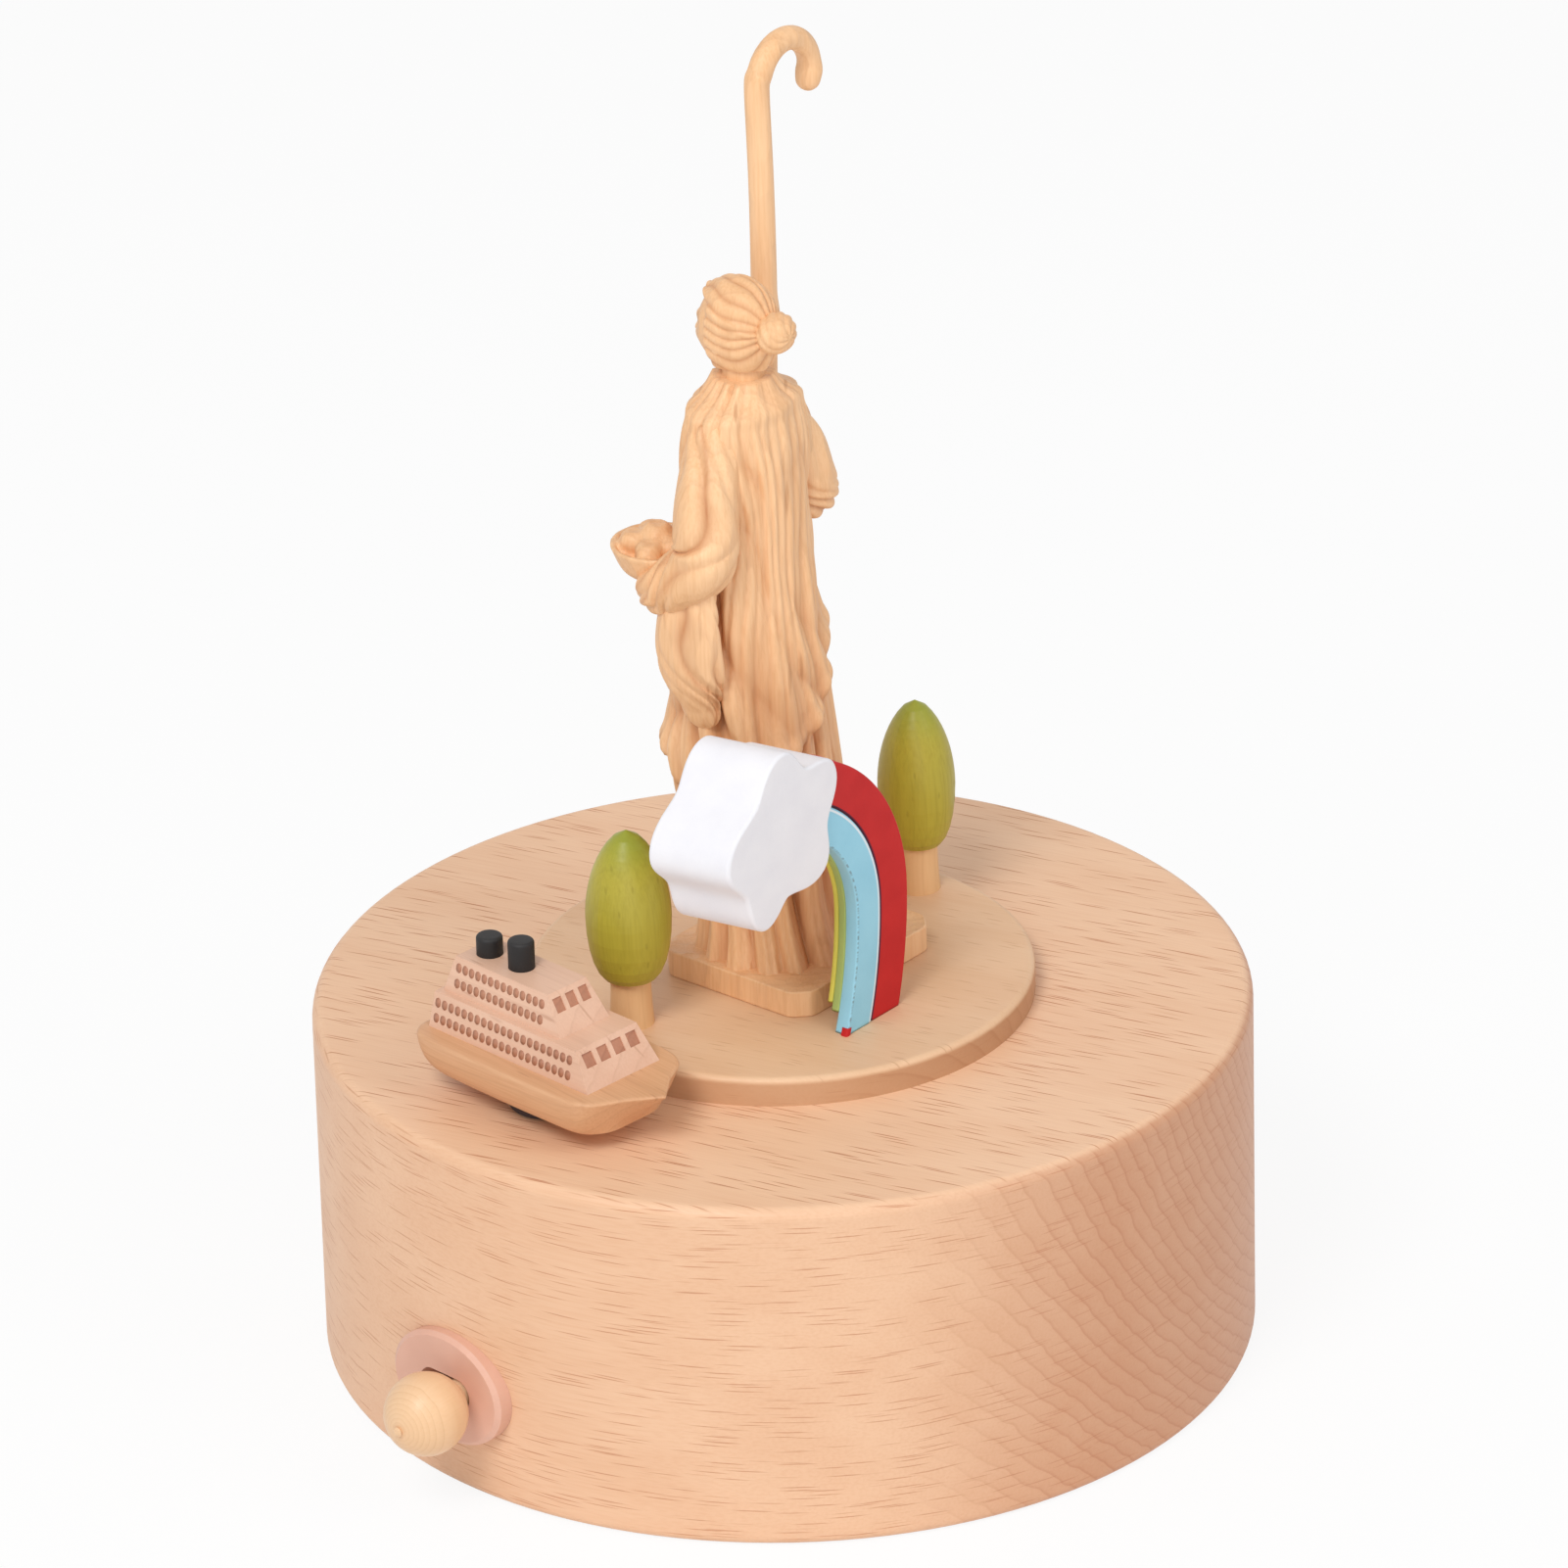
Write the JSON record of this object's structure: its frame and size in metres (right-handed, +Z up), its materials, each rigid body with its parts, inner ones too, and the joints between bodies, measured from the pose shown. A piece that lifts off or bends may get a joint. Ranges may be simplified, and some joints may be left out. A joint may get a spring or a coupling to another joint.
{
  "type": "music box",
  "caption": "Round wooden music box: a ship circles a carved robed figure, trees, a rainbow and a cloud, and a ball knob starts and stops the wind-up movement inside.",
  "frame": {"origin": "on the base's axis, in the plane of the rim that the box stands on", "axes": "+Z up along the base's axis; +X through the ball knob's slot; the carved figure faces -Y"},
  "size_m": [0.1224, 0.11, 0.1586],
  "materials": {
    "beech": "satin varnish",
    "plywood": "bare",
    "carved_wood": "oiled",
    "stained_green": "green stain",
    "trunk_wood": "oiled",
    "red_wood": "satin paint",
    "blue_wood": "satin paint",
    "yellow_wood": "satin paint",
    "white_wood": "satin paint",
    "hull_wood": "oiled",
    "cabin_wood": "oiled",
    "black_wood": "satin paint",
    "magnet": "bare ferrite",
    "pink_plastic": "matt",
    "knob_wood": "satin varnish",
    "steel": "satin",
    "brass": "satin",
    "zinc": "die-cast zinc",
    "spring_steel": "blued",
    "nylon": "matt"
  },
  "bodies": {
    "case": {"base_body": "beech", "bottom_plate": "plywood", "plate_screws": "steel", "platform": "beech", "platform_dowels": "trunk_wood", "carved_figure": "carved_wood", "near_tree_trunk": "trunk_wood", "near_tree_crown": "stained_green", "far_tree_trunk": "trunk_wood", "far_tree_crown": "stained_green", "rainbow_red_band": "red_wood", "rainbow_blue_band": "blue_wood", "rainbow_yellow_band": "yellow_wood", "cloud": "white_wood", "switch_plate": "pink_plastic", "lever_pivot": "steel", "arbor_bush": "brass", "bedplate": "zinc", "bedplate_screws": "steel", "comb": "steel", "comb_screws": "steel", "governor_bracket": "zinc", "governor_screw": "steel"},
    "winding": {"winding_key": "brass", "winding_arbor": "steel"},
    "spring_drive": {"spring_barrel": "brass", "mainspring": "spring_steel", "barrel_cover": "brass", "magnet_arm": "nylon", "drive_magnet": "magnet"},
    "ship": {"ship_hull": "hull_wood", "ship_cabins": "cabin_wood", "ship_funnels": "black_wood", "ship_magnet": "magnet"},
    "cylinder": {"pinned_cylinder": "brass", "cylinder_shaft": "steel", "cylinder_pinion": "brass", "cylinder_wheel": "brass"},
    "governor": {"governor_shaft": "steel", "governor_pinion": "brass", "worm_wheel": "nylon"},
    "fan": {"worm_shaft": "steel", "brake_collar": "brass", "air_brake": "nylon"},
    "switch": {"switch_knob": "knob_wood", "stop_lever": "steel"}
  },
  "joints": [
    {"name": "key_turn", "type": "hinge", "parent": "case", "child": "winding", "pos_m": [0, 0, 0.004], "axis": [0, 0, 1], "continuous": true},
    {"name": "drive_turn", "type": "hinge", "parent": "case", "child": "spring_drive", "pos_m": [0, 0, 0.0195], "axis": [0, 0, 1], "continuous": true},
    {"name": "ship_course", "type": "hinge", "parent": "case", "child": "ship", "pos_m": [0, 0, 0.0434], "axis": [0, 0, 1], "continuous": true},
    {"name": "cylinder_turn", "type": "hinge", "parent": "case", "child": "cylinder", "pos_m": [0.0159, 0, 0.0195], "axis": [1, 0, 0], "continuous": true},
    {"name": "governor_turn", "type": "hinge", "parent": "case", "child": "governor", "pos_m": [0.035, -0.00725, 0.02288], "axis": [1, 0, 0], "continuous": true},
    {"name": "fan_turn", "type": "hinge", "parent": "case", "child": "fan", "pos_m": [0.0354, -0.0126, 0.0165], "axis": [0, 0, 1], "continuous": true},
    {"name": "switch_swing", "type": "hinge", "parent": "case", "child": "switch", "pos_m": [0.04, 0, 0.0134], "axis": [0, 0, 1], "range_deg": [-13.45, 0]}
  ],
  "couplings": [
    {"joint": "ship_course", "follows": "drive_turn", "ratio": 1},
    {"joint": "cylinder_turn", "follows": "drive_turn", "ratio": 2.6},
    {"joint": "governor_turn", "follows": "drive_turn", "ratio": -10.4},
    {"joint": "fan_turn", "follows": "drive_turn", "ratio": -93.6}
  ]
}
